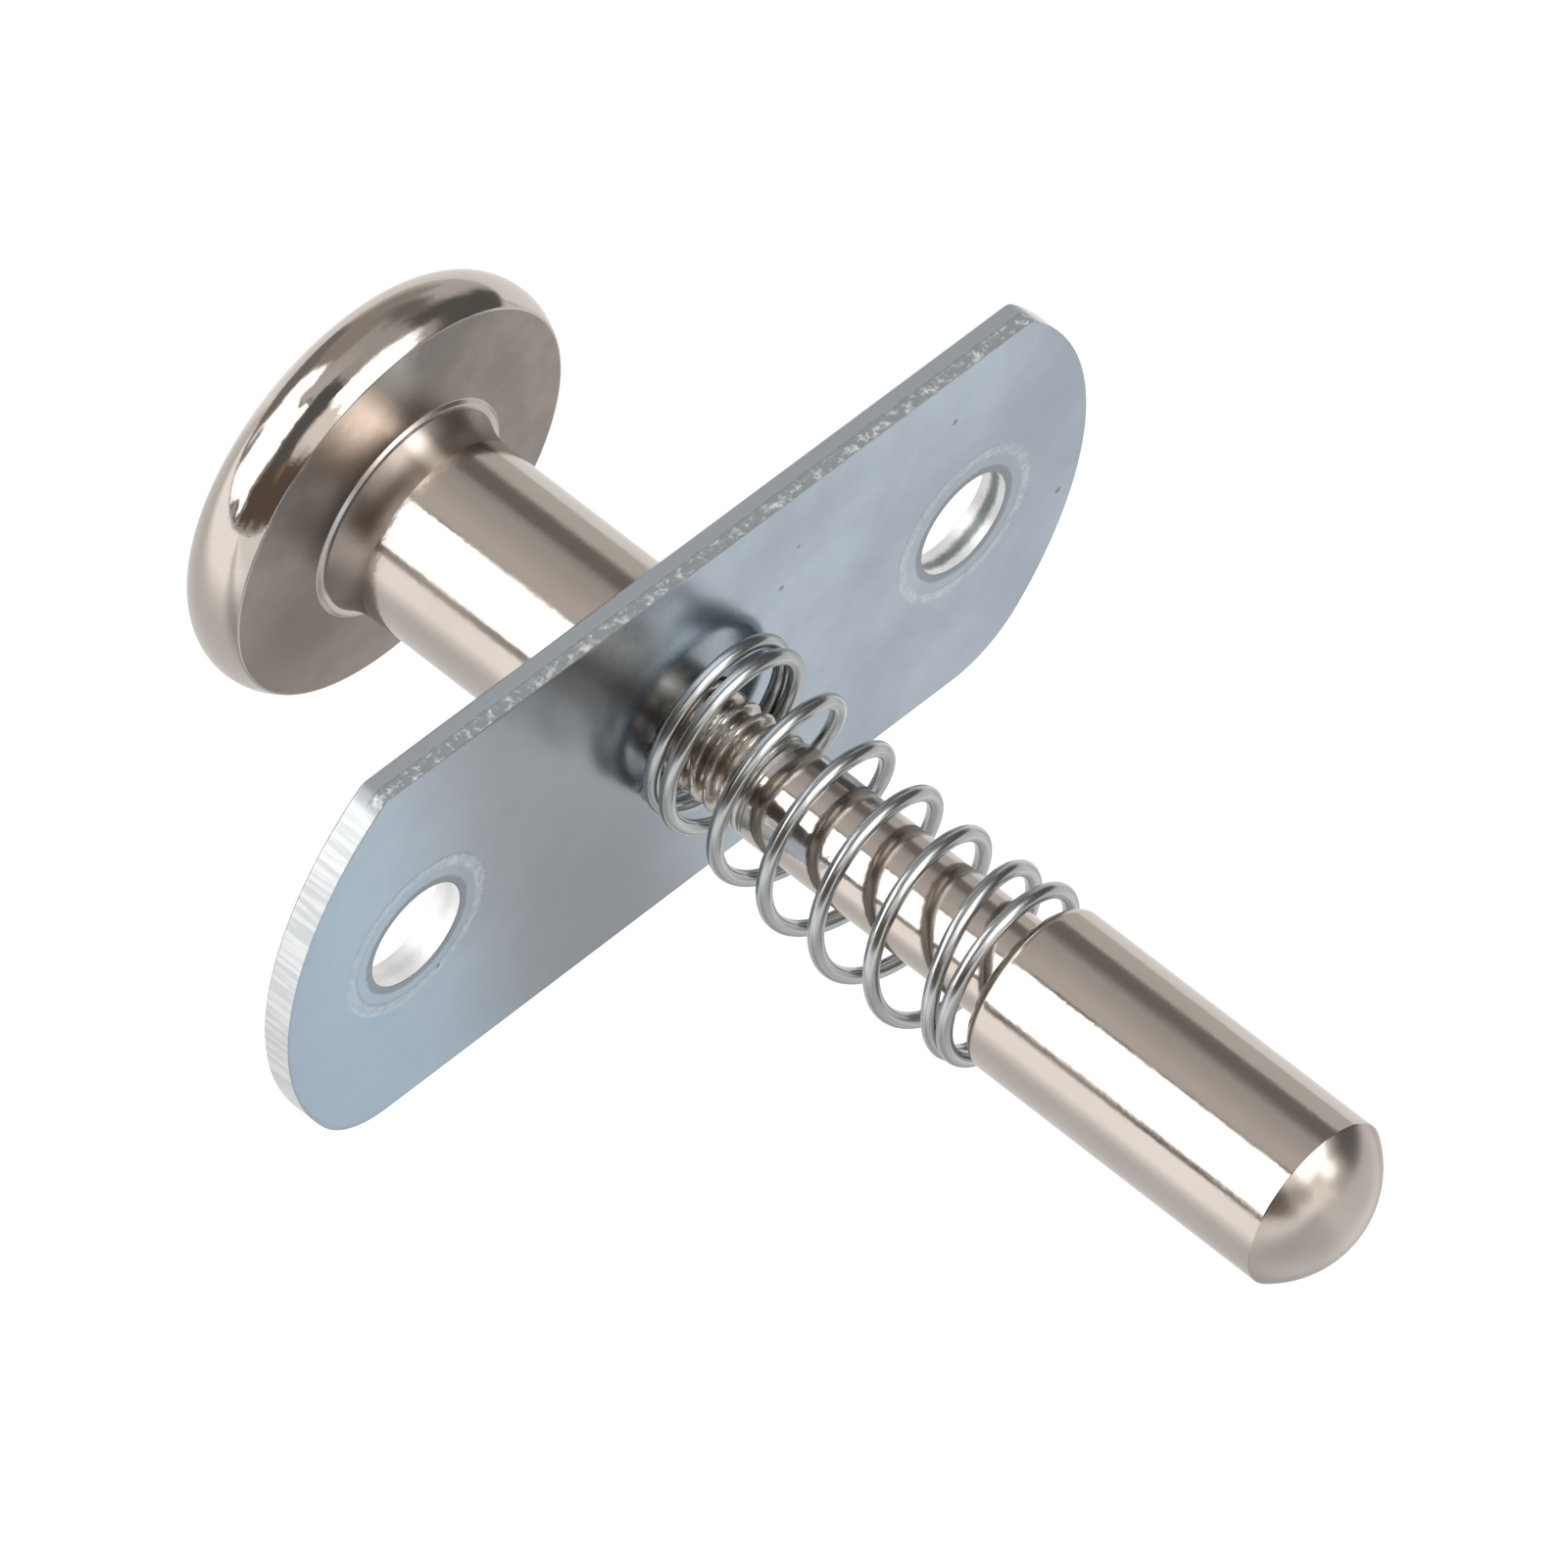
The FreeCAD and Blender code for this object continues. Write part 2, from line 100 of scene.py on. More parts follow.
def turnedMesh(name, firstPole, rings, lastPole, material, others=()):
    # rings[i, j] is point j of ring i. Quads join ring i to ring i + 1 and close around j,
    # and a fan of triangles joins the outermost rings to the two poles. UV is (j, i). Each of
    # the others is a material, its first row and the row after its last; row -1 is the fan
    # at the first pole.
    count, around = rings.shape[:2]
    points = np.vstack([[firstPole], rings.reshape(-1, 3), [lastPole]])
    quads = ringQuads(count, around, 1)
    here = np.arange(around)
    after = (here + 1) % around
    last = 1 + (count - 1) * around
    firstFan = np.stack([0 * here, 1 + after, 1 + here], -1)
    lastFan = np.stack([0 * here + len(points) - 1, last + here, last + after], -1)
    triangles = np.vstack([firstFan, lastFan])

    def volume(faces):
        a, b, c = points[faces[:, 0]], points[faces[:, 1]], points[faces[:, 2]]
        return np.einsum("ij,ij->", a, np.cross(b, c))

    if volume(triangles) + volume(quads[:, :3]) + volume(quads[:, [0, 2, 3]]) < 0:
        quads, triangles = quads[:, ::-1], triangles[:, ::-1]

    mesh = newMesh(name, points, quads, triangles)
    ringOf = np.concatenate([[0], np.repeat(np.arange(count), around), [count - 1]])
    stepOf = np.concatenate([[0], np.tile(np.arange(around), count), [0]])
    uv = mesh.uv_layers.new(name="surface")
    cornerPoint = np.zeros(len(mesh.loops), np.int32)
    mesh.loops.foreach_get("vertex_index", cornerPoint)
    flat = np.stack([stepOf[cornerPoint] / around, ringOf[cornerPoint] / count], -1)
    uv.data.foreach_set("uv", flat.astype(np.float32).ravel())
    mesh.polygons.foreach_set("use_smooth", np.ones(len(mesh.polygons), bool))
    mesh.set_sharp_from_angle(angle=math.radians(meshing["sharpAngle"]))
    mesh.materials.append(material)
    row = np.concatenate([np.repeat(np.arange(count - 1), around),
                          np.full(around, -1), np.full(around, count - 1)])
    chosen = np.zeros(len(row), np.int32)
    for index, (other, firstRow, afterLast) in enumerate(others, start=1):
        mesh.materials.append(other)
        chosen[(row >= firstRow) & (row < afterLast)] = index
    mesh.polygons.foreach_set("material_index", chosen)
    return addObject(name, mesh)


def roundedProfile(corners, steps):
    # corners are (radius, height, rounding) in mm. Each rounded corner becomes an arc that is
    # tangent to its two sides: its centre lies on the bisector, and the sides lose
    # rounding / tan(half the angle) each. A corner that is rounded adds steps + 1 points, and
    # a long side gets a point close to each end, which keeps its shading straight.
    almostFlat = math.radians(meshing["flatCorner"]) / 2
    path = [corners[0][:2]]
    for before, (r, y, rounding), after in zip(corners, corners[1:], corners[2:]):
        corner = np.array([r, y])
        back = np.array(before[:2]) - corner
        ahead = np.array(after[:2]) - corner
        back, ahead = back / np.linalg.norm(back), ahead / np.linalg.norm(ahead)
        half = math.acos(np.clip(back @ ahead, -1, 1)) / 2
        if rounding <= 0 or half > almostFlat:
            path.append((r, y))
            continue
        bisector = (back + ahead) / np.linalg.norm(back + ahead)
        centre = corner + bisector * rounding / math.sin(half)
        start = corner + back * rounding / math.tan(half) - centre
        end = corner + ahead * rounding / math.tan(half) - centre
        turn = math.atan2(start[0] * end[1] - start[1] * end[0], start @ end)
        angle = turn * np.linspace(0, 1, steps + 1)
        arc = centre + np.outer(np.cos(angle), start) + np.outer(
            np.sin(angle), [-start[1], start[0]])
        path.extend(map(tuple, arc))
    path.append(corners[-1][:2])
    path = np.array(path)
    held = [path[:1]]
    for first, second in zip(path, path[1:]):
        length = np.linalg.norm(second - first)
        if length > meshing["longSide"]:
            share = meshing["held"] / length
            held.append(first + np.outer([share, 1 - share], second - first))
        held.append([second])
    return np.concatenate(held)


def arcPoints(centre, radius, fromAngle, toAngle, steps):
    # points at equal angles round a centre, in degrees, with no rounding of their own
    angle = np.radians(np.linspace(fromAngle, toAngle, steps + 1))
    r = centre[0] + radius * np.cos(angle)
    y = centre[1] + radius * np.sin(angle)
    return [(a, b, 0.0) for a, b in zip(r, y)]


def circleAngles(around):
    # equal steps once round, in radians; the step that would meet the first is left out
    return np.arange(around) * 2 * np.pi / around


def ringsAboutY(r, y, angle):
    # points in metres at these radii, heights and angles, which may each be rows or columns
    return np.stack([r * np.cos(angle), y + 0 * angle, r * np.sin(angle)], -1) * mm


def eased(value):
    # 0 to 1 without a corner at either end
    value = np.clip(value, 0, 1)
    return value * value * (3 - 2 * value)


def linearColour(code):
    # an sRGB hex value as linear red, green, blue and alpha
    levels = np.array([int(code[i:i + 2], 16) for i in (1, 3, 5)]) / 255
    linear = np.where(levels <= 0.04045, levels / 12.92, ((levels + 0.055) / 1.055) ** 2.4)
    return (*linear, 1.0)


def setInputs(tree, node, inputs):
    # Inputs are named, or stand in the node's own order. Each is linked to a socket or to the
    # first output of a node, or set to a value, which may be a hex colour.
    pairs = inputs.items() if isinstance(inputs, dict) else enumerate(inputs)
    for name, value in pairs:
        if isinstance(value, bpy.types.Node):
            value = value.outputs[0]
        if isinstance(value, bpy.types.NodeSocket):
            tree.links.new(value, node.inputs[name])
        else:
            isHex = isinstance(value, str)
            node.inputs[name].default_value = linearColour(value) if isHex else value


def addNode(tree, kind, inputs=(), **settings):
    # adds a shader node of this kind, with its properties and inputs
    node = tree.nodes.new("ShaderNode" + kind)
    for name, value in settings.items():
        setattr(node, name, value)
    setInputs(tree, node, inputs)
    return node


def newMaterial(name):
    # a material, its nodes and its shader
    material = bpy.data.materials.new(name)
    material.use_nodes = True
    tree = material.node_tree
    return material, tree, tree.nodes["Principled BSDF"]


def perMetre(size):
    # a pattern's scale for features of this size in mm, on coordinates in metres
    return 1 / (size * mm)


def unevenness(tree, place, size, detail=3.0, roughness=0.5, offset=(0, 0, 0)):
    # a cloudy pattern whose features have this size in mm, or one size for each axis
    sizes = size if isinstance(size, tuple) else (size, size, size)
    scaled = addNode(tree, "Mapping", {
        "Vector": place, "Location": offset, "Scale": tuple(perMetre(s) for s in sizes)})
    return addNode(tree, "TexNoise", {
        "Vector": scaled, "Scale": 1.0, "Detail": detail, "Roughness": roughness})


def banded(tree, value, stops):
    # one level for each place in mm, smooth between neighbours: the sum of their steps
    level = stops[0][1]
    for (fromPlace, fromLevel), (toPlace, toLevel) in zip(stops, stops[1:]):
        ends = (fromPlace * mm, toPlace * mm, 0.0, toLevel - fromLevel)
        step = addNode(tree, "MapRange", (value, *ends), **smooth)
        level = addNode(tree, "Math", (step, level), operation="ADD")
    return level


def distance(tree, first, second):
    # the root of the sum of the squares of two lengths at right angles
    squares = [addNode(tree, "Math", (side, 2.0), operation="POWER") for side in (first, second)]
    both = addNode(tree, "Math", squares, operation="ADD")
    return addNode(tree, "Math", (both,), operation="SQRT")


def inside(tree, value, low, high, soft):
    # 1 between low and high, 0 outside, with borders of this softness
    half = soft / 2
    rise = addNode(tree, "MapRange", (value, low - half, low + half), **smooth)
    fall = addNode(tree, "MapRange", (value, high - half, high + half, 1.0, 0.0), **smooth)
    return addNode(tree, "Math", (rise, fall), operation="MULTIPLY")


def relief(tree, layers):
    # bumps on top of each other: each layer is a pattern and its height in mm
    below = {}
    for pattern, height in layers:
        bump = addNode(tree, "Bump", {"Height": pattern, "Distance": height * mm, **below})
        below = {"Normal": bump}
    return bump


nickelLook = {
    "base": "#dad1c9",
    "dull": "#cfc4ba",        # where the plating is a little hazy
    "hazeSize": 5.0,          # mm
    "polished": (0.08, 0.15),   # roughness of the cylinders and the head
    "satin": (0.20, 0.30),    # roughness of the dome and the lip, where the tool turns
    "turningPitch": 0.14,     # mm between turned rings
    "turningLength": 14.0,    # mm across the axis before they change
    "turningHeight": 0.0005,  # mm
    "grainSize": 0.4,         # mm, small unevenness that makes reflections ragged
    "grainHeight": 0.0045,    # mm
    "waveSize": 2.5,          # mm
    "waveHeight": 0.006,      # mm
}


def makeNickel(name, roughness):
    # Nickel-plated turned steel: warm grey mirror with faint rings round the axis.
    look = nickelLook
    material, tree, shader = newMaterial(name)
    place = addNode(tree, "TexCoord").outputs["Object"]
    haze = unevenness(tree, place, look["hazeSize"], 4.0)
    colour = addNode(tree, "Mix", {0: haze, 6: look["base"], 7: look["dull"]}, **inColour)
    gloss = addNode(tree, "MapRange", (haze, *mostNoise, *roughness), **smooth)
    sizes = (look["turningLength"], look["turningPitch"], look["turningLength"])
    normal = relief(tree, (
        (unevenness(tree, place, look["waveSize"], 1.0), look["waveHeight"]),
        (unevenness(tree, place, look["grainSize"], 2.0), look["grainHeight"]),
        (unevenness(tree, place, sizes, 3.0, 0.6), look["turningHeight"])))
    setInputs(tree, shader, {
        "Base Color": colour.outputs[2], "Roughness": gloss, "Normal": normal, "Metallic": 1.0})
    return material


mattNickelLook = {
    "base": "#b0a49b",
    "dark": "#a3978e",
    "roughness": (0.32, 0.38),
    "mottleSize": 5.0,        # mm
    "grainSize": 0.35,        # mm
    "grainHeight": 0.005,     # mm
    # painted highlights and shade: two bright spots stand for reflections on the underside and the
    # neck, one dark spot for shade low down; X and Z in mm, size in mm and colour
    "paintedLightPatches": ((-2.9, 10.5, 3.6, "#fff2e6"), (-6.6, -3.2, 5.5, "#8b817a"),
                (-0.5, 5.8, 0.9, "#fff0e2")),
    "patchRagged": 0.8,       # unevenness of their edges, as a share of their size
    "patchEdge": (0.6, 1.6),  # where they fade, in sizes from their middle
    "patchStrength": 0.85,
}


def makeMattNickel():
    # Nickel plate under the head and on the neck, where the buffing wheel doesn't reach, with
    # painted highlights and painted shade.
    look = mattNickelLook
    material, tree, shader = newMaterial("mattNickelPlate")
    place = addNode(tree, "TexCoord").outputs["Object"]
    mottle = unevenness(tree, place, look["mottleSize"], 5.0, 0.65)
    share = addNode(tree, "MapRange", (mottle, *midNoise), **smooth)
    colour = addNode(tree, "Mix", {0: share, 6: look["base"], 7: look["dark"]}, **inColour)
    fadeFrom, fadeTo = look["patchEdge"]
    flat = addNode(tree, "VectorMath", (place, (1, 0, 1)), operation="MULTIPLY")
    # painted highlights and shade mixed into the colour, each fading from its middle
    for x, z, size, patch in look["paintedLightPatches"]:
        away = addNode(tree, "VectorMath", (flat, (x * mm, 0, z * mm)), operation="DISTANCE")
        ragged = addNode(tree, "Math", (mottle, look["patchRagged"] * size * mm),
                         operation="MULTIPLY")
        away = addNode(tree, "Math", (away.outputs["Value"], ragged), operation="ADD")
        share = addNode(tree, "MapRange", (
            away, fadeFrom * size * mm, fadeTo * size * mm, look["patchStrength"], 0.0), **smooth)
        colour = addNode(tree, "Mix", {0: share, 6: colour.outputs[2], 7: patch}, **inColour)
    gloss = addNode(tree, "MapRange", (mottle, *mostNoise, *look["roughness"]), **smooth)
    grain = unevenness(tree, place, look["grainSize"], 3.0)
    setInputs(tree, shader, {
        "Base Color": colour.outputs[2], "Roughness": gloss,
        "Normal": relief(tree, [(grain, look["grainHeight"])]), "Metallic": 1.0})
    return material


threadLook = {
    "base": "#e2dad0",
    "dirt": "#ab9b8a",
    "roughness": (0.16, 0.34),
    "dirtSize": 0.9,          # mm
    "dirtLevels": (0.4, 0.7),   # of the noise, between clean and dirty
    "root": 2.62,             # mm from the axis, where dirt lies
    "crest": 2.86,            # mm
    "grainSize": 0.3,         # mm
    "grainHeight": 0.006,     # mm
}


def makeThreadSteel():
    # Rolled thread: plated like the rod, with brown dirt and oil in the root.
    look = threadLook
    material, tree, shader = newMaterial("threadSteel")
    place = addNode(tree, "TexCoord").outputs["Object"]
    x, y, z = addNode(tree, "SeparateXYZ", (place,)).outputs
    spots = unevenness(tree, place, look["dirtSize"], 4.0, 0.6)
    heights = (look["root"] * mm, look["crest"] * mm)
    low = addNode(tree, "MapRange", (distance(tree, x, z), *heights, 1.0, 0.0), **smooth)
    spotted = addNode(tree, "MapRange", (spots, *look["dirtLevels"]), **smooth)
    dirt = addNode(tree, "Math", (low, spotted), operation="MULTIPLY")
    colour = addNode(tree, "Mix", {0: dirt, 6: look["base"], 7: look["dirt"]}, **inColour)
    gloss = addNode(tree, "MapRange", (spots, *mostNoise, *look["roughness"]), **smooth)
    grain = unevenness(tree, place, look["grainSize"], 3.0)
    setInputs(tree, shader, {
        "Base Color": colour.outputs[2], "Roughness": gloss,
        "Normal": relief(tree, [(grain, look["grainHeight"])]), "Metallic": 1.0})
    return material


springLook = {
    "base": "#dfe1e0",
    "dark": "#acaeae",
    "roughness": (0.14, 0.26),
    "lineCount": 60.0,        # drawn lines round the wire
    "lineBreaks": 25.0,       # along its whole length
    "lineHeight": 0.002,      # mm
}


def makeSpringSteel():
    # Plated spring wire: bright, with drawn lines that run along it.
    look = springLook
    material, tree, shader = newMaterial("platedSpringSteel")
    place = addNode(tree, "TexCoord").outputs["UV"]
    alongWire = addNode(tree, "Mapping", {
        "Vector": place, "Scale": (look["lineCount"], look["lineBreaks"], 1.0)})
    drawn = addNode(tree, "TexNoise", {"Vector": alongWire, "Scale": 1.0, "Detail": 2.0})
    colour = addNode(tree, "Mix", {0: drawn, 6: look["dark"], 7: look["base"]}, **inColour)
    levels = reversed(look["roughness"])
    gloss = addNode(tree, "MapRange", (drawn, *mostNoise, *levels), **smooth)
    setInputs(tree, shader, {
        "Base Color": colour.outputs[2], "Roughness": gloss,
        "Normal": relief(tree, [(drawn, look["lineHeight"])]), "Metallic": 1.0})
    return material


zincLook = {
    "base": "#bdc8d2",
    "cloud": "#b1bcc6",
    "cloudSize": 16.0,        # mm
    # bands across X, each a colour, then from and to along X in mm: a grey band of painted shade
    # left of the spring, and a lighter blue tint towards the left end
    "shadeAndTintBands": (("#9ca1a7", -17, -2.5), ("#bacddd", -60, -20)),
    "bandSoft": 11.0,         # mm over which their borders fade
    "bandSlant": 0.35,        # mm along X for each mm along Z
    # dents that handling leaves: X, Z and size in mm
    "nicks": ((28.4, -3.3, 0.45), (18.7, 9.4, 0.5), (6.9, 8.8, 0.3), (5.9, 6.3, 0.4),
              (-18.6, -4.1, 0.35)),
    "nickColour": "#7f7f80",
    "nickRagged": 0.6,        # unevenness of their edges, as a share of their size
    "nickEdge": (0.5, 0.9),   # where they fade, in sizes from their middle
    "nickStrength": 0.8,
    "speckSize": 0.6,         # mm
    "roughness": (0.20, 0.32),
    "grainSize": 0.3,         # mm
    "grainHeight": 0.004,     # mm
    "facing": (0.4, 0.6),     # share of Y in the normal, between sheared edge and face
    "edge": "#f4f5f5",
    "edgeDark": "#dadddf",
    "edgeShine": 0.45,        # how much of the sheared metal still mirrors
    "edgeRoughness": 0.42,
    "longSide": (12.2, 13.0),   # mm along Z, where a long sheared edge begins
    "longEdge": "#a9b0b5",    # these are smooth at the back
    "tear": "#a0a4a6",        # and torn at the front, with bright grains
    "tearGrain": "#f0f2f2",
    "grainLevels": (0.48, 0.68),    # of the specks, between torn metal and bright grain
    "tearDepth": 0.8,         # mm
    "tearSoft": 0.06,         # mm each side of the border
    "tearRagged": 0.5,        # mm
    "tearHeight": 0.12,       # mm
    "shearSize": 0.35,        # mm between the shear's upright lines
    "shearLength": 6.0,       # mm
    "shearLevels": (0.4, 0.6),  # of the lines' noise, between light and dark
    "shearHeight": 0.012,     # mm
    "holeCentre": 20.65,      # mm from the pin's axis
    "ringRadius": 4.7,        # mm, mark that a screw's head pressed round each hole
    "ringWidth": 0.45,        # mm
    "ringColour": "#d3dbe1",
    "ringDepth": 0.02,        # mm
    "ringWear": 0.75,         # its colour's share where it is most worn
    # The holes' walls are burnished white, with a torn grey band that starts and ends between
    # these places, in mm along Y. It is faint at -X.
    "wall": "#ffffff",
    "wallGrey": "#8b9394",
    "greyBand": (0.35, 0.7, 0.95, 1.35),
    "greyLeast": 0.15,
    "greySide": (-5.0, 5.0),  # mm along X
    "wallReach": (3.9, 4.3),  # mm from the hole's centre, where other edges begin
    "rimRagged": 0.3,         # mm
    # where a hole's dark rim of painted shade fades: mm from its centre, plus half of the
    # raggedness
    "holeRim": (3.73, 3.95),
    "rimStrength": 0.7,
    "rimDepth": (0.5, 1.0),   # mm along Y, where it ends in front of the back face
    "rimShadeColour": "#858c8f",
}


def makeZinc():
    # Bright zinc plate on sheared sheet steel: bluish, softly cloudy, satin mirror, with painted
    # shade left of the spring and on the mounting holes' front rims.
    look = zincLook

    def inMetres(name):
        return [value * mm for value in look[name]]

    material, tree, shader = newMaterial("zincPlatedSheet")
    coords = addNode(tree, "TexCoord")
    place = coords.outputs["Object"]
    x, y, z = addNode(tree, "SeparateXYZ", (place,)).outputs
    facing = addNode(tree, "SeparateXYZ", (coords.outputs["Normal"],)).outputs["Y"]
    facing = addNode(tree, "Math", (facing,), operation="ABSOLUTE")
    onEdge = addNode(tree, "MapRange", (facing, *look["facing"], 1.0, 0.0), **smooth)
    cloud = unevenness(tree, place, look["cloudSize"], 5.0, 0.6)
    speck = unevenness(tree, place, look["speckSize"], 4.0, 0.7, (3, 0, 1))
    share = addNode(tree, "MapRange", (cloud, *midNoise), **smooth)
    colour = addNode(tree, "Mix", {0: share, 6: look["base"], 7: look["cloud"]}, **inColour)
    # bands across X, slanted with Z: painted shade left of the spring, and a lighter blue tint at
    # the left end
    slanted = addNode(tree, "Math", (z, look["bandSlant"]), operation="MULTIPLY")
    slanted = addNode(tree, "Math", (x, slanted), operation="ADD")
    for mark, fromX, toX in look["shadeAndTintBands"]:
        share = inside(tree, slanted, fromX * mm, toX * mm, look["bandSoft"] * mm)
        colour = addNode(tree, "Mix", {0: share, 6: colour.outputs[2], 7: mark}, **inColour)

    # the burnished and torn bands of the sheared edge meet in a ragged line
    sizes = (look["shearSize"], look["shearLength"], look["shearSize"])
    shearLines = unevenness(tree, place, sizes, 3.0, 0.6)
    ragged = addNode(tree, "Math", (speck, 0.5), operation="SUBTRACT")
    ragged = addNode(tree, "Math", (ragged, look["tearRagged"] * mm), operation="MULTIPLY")
    border = addNode(tree, "Math", (y, ragged), operation="ADD")
    ends = ((look["tearDepth"] - look["tearSoft"]) * mm,
            (look["tearDepth"] + look["tearSoft"]) * mm)
    torn = addNode(tree, "MapRange", (border, *ends, 1.0, 0.0), **smooth)
    longSide = addNode(tree, "Math", (z,), operation="ABSOLUTE")
    longSide = addNode(tree, "MapRange", (longSide, *inMetres("longSide")), **smooth)
    longSide = addNode(tree, "Math", (longSide, onEdge), operation="MULTIPLY")
    share = addNode(tree, "MapRange", (shearLines, *look["shearLevels"]), **smooth)
    sheared = addNode(tree, "Mix", {0: share, 6: look["edge"], 7: look["edgeDark"]}, **inColour)
    share = addNode(tree, "MapRange", (speck, *look["grainLevels"]), **smooth)
    tear = addNode(tree, "Mix", {0: share, 6: look["tear"], 7: look["tearGrain"]}, **inColour)
    longEdge = addNode(tree, "Mix", {0: torn, 6: look["longEdge"], 7: tear.outputs[2]}, **inColour)
    edge = addNode(tree, "Mix", {
        0: longSide, 6: sheared.outputs[2], 7: longEdge.outputs[2]}, **inColour)
    colour = addNode(tree, "Mix", {
        0: onEdge, 6: colour.outputs[2], 7: edge.outputs[2]}, **inColour)
    torn = addNode(tree, "Math", (torn, longSide), operation="MULTIPLY")

    # painted shade: the dark rim in front, where the holes' front edge is shaded, by the distance
    # from the nearer mounting hole's centre
    across = addNode(tree, "Math", (x,), operation="ABSOLUTE")
    across = addNode(tree, "Math", (across, look["holeCentre"] * mm), operation="SUBTRACT")
    reach = distance(tree, across, z)
    ragged = addNode(tree, "Math", (speck, look["rimRagged"] * mm), operation="MULTIPLY")
    ragged = addNode(tree, "Math", (reach, ragged), operation="ADD")
    rim = addNode(tree, "MapRange", (
        ragged, *inMetres("holeRim"), look["rimStrength"], 0.0), **smooth)
    inFront = addNode(tree, "MapRange", (y, *inMetres("rimDepth"), 1.0, 0.0), **smooth)
    share = addNode(tree, "Math", (rim, inFront), operation="MULTIPLY")
    colour = addNode(tree, "Mix", {
        0: share, 6: colour.outputs[2], 7: look["rimShadeColour"]}, **inColour)

    # the holes' walls with their grey band
    riseFrom, riseTo, fallFrom, fallTo = inMetres("greyBand")
    rise = addNode(tree, "MapRange", (border, riseFrom, riseTo), **smooth)
    fall = addNode(tree, "MapRange", (border, fallFrom, fallTo, 1.0, 0.0), **smooth)
    band = addNode(tree, "Math", (rise, fall), operation="MULTIPLY")
    side = addNode(tree, "MapRange", (x, *inMetres("greySide"), look["greyLeast"], 1.0), **smooth)
    grey = addNode(tree, "Math", (band, side), operation="MULTIPLY")
    wall = addNode(tree, "Mix", {0: grey, 6: look["wall"], 7: look["wallGrey"]}, **inColour)
    near = addNode(tree, "MapRange", (reach, *inMetres("wallReach"), 1.0, 0.0), **smooth)
    inHole = addNode(tree, "Math", (onEdge, near), operation="MULTIPLY")
    colour = addNode(tree, "Mix", {
        0: inHole, 6: colour.outputs[2], 7: wall.outputs[2]}, **inColour)

    # the pressed ring, worn bright in places, and the dents
    offRing = addNode(tree, "Math", (reach, look["ringRadius"] * mm), operation="SUBTRACT")
    offRing = addNode(tree, "Math", (offRing,), operation="ABSOLUTE")
    ends = (0.5 * look["ringWidth"] * mm, look["ringWidth"] * mm)
    pressed = addNode(tree, "MapRange", (offRing, *ends), **smooth)
    onRing = addNode(tree, "Math", (1.0, pressed), operation="SUBTRACT")
    bright = addNode(tree, "MapRange", (speck, *midNoise, 0.0, look["ringWear"]), **smooth)
    worn = addNode(tree, "Math", (onRing, bright), operation="MULTIPLY")
    colour = addNode(tree, "Mix", {
        0: worn, 6: colour.outputs[2], 7: look["ringColour"]}, **inColour)
    fadeFrom, fadeTo = look["nickEdge"]
    for nickX, nickZ, size in look["nicks"]:
        away = addNode(tree, "VectorMath", (place, (nickX * mm, 0, nickZ * mm)),
                       operation="DISTANCE")
        ragged = addNode(tree, "Math", (speck, look["nickRagged"] * size * mm),
                         operation="MULTIPLY")
        away = addNode(tree, "Math", (away.outputs["Value"], ragged), operation="ADD")
        nick = addNode(tree, "MapRange", (
            away, fadeFrom * size * mm, fadeTo * size * mm, look["nickStrength"], 0.0), **smooth)
        colour = addNode(tree, "Mix", {
            0: nick, 6: colour.outputs[2], 7: look["nickColour"]}, **inColour)

    gloss = addNode(tree, "MapRange", (cloud, *mostNoise, *look["roughness"]), **smooth)
    dull = addNode(tree, "Math", (onEdge, look["edgeRoughness"]), operation="MULTIPLY")
    gloss = addNode(tree, "Math", (gloss, dull), operation="MAXIMUM")
    shearLines = addNode(tree, "Math", (shearLines, onEdge), operation="MULTIPLY")
    grains = addNode(tree, "Math", (speck, torn), operation="MULTIPLY")
    normal = relief(tree, (
        (unevenness(tree, place, look["grainSize"], 2.0), look["grainHeight"]),
        (pressed, look["ringDepth"]),
        (shearLines, look["shearHeight"]),
        (grains, look["tearHeight"])))
    shine = addNode(tree, "MapRange", (onEdge, 0.0, 1.0, 1.0, look["edgeShine"]), **smooth)
    setInputs(tree, shader, {
        "Base Color": colour.outputs[2], "Roughness": gloss, "Normal": normal, "Metallic": shine})
    return material


nickel = makeNickel("polishedNickelPlate", nickelLook["polished"])
satinNickel = makeNickel("satinNickelPlate", nickelLook["satin"])
mattNickel = makeMattNickel()
threadSteel = makeThreadSteel()
springSteel = makeSpringSteel()
zinc = makeZinc()
print("materials made")


pinSizes = {
    # lengths, and places along Y, in mm
    "noseRadius": 4.95,
    "domeRadius": 5.95,
    "domeCrease": -43.4,      # along Y, with a small rounding
    "creaseRound": 0.12,
    "domeSteps": 24,
    "domeFrom": -89.0,        # degrees, just beside the tip
    "shoulder": -23.4,
    "shoulderRound": 0.9,
    "rodRadius": 3.0,
    "rodFillet": 0.15,        # at the shoulder
    "perRounding": 10,
    "threadFrom": -6.2,
    "threadTo": 14.0,
    "threadRadius": 2.95,
    "threadPitch": 1.0,
    "threadDepth": 0.55,
    "rowsPerPitch": 14,
    "grooveLevel": 1.25,      # with the next: how wide the groove's floor and the crest are
    "grooveSlope": 2.9,
    "runIn": (0.3, 1.2),      # where the thread starts to deepen, and over how much
    "endChamfer": 0.8,
    "around": 128,
}


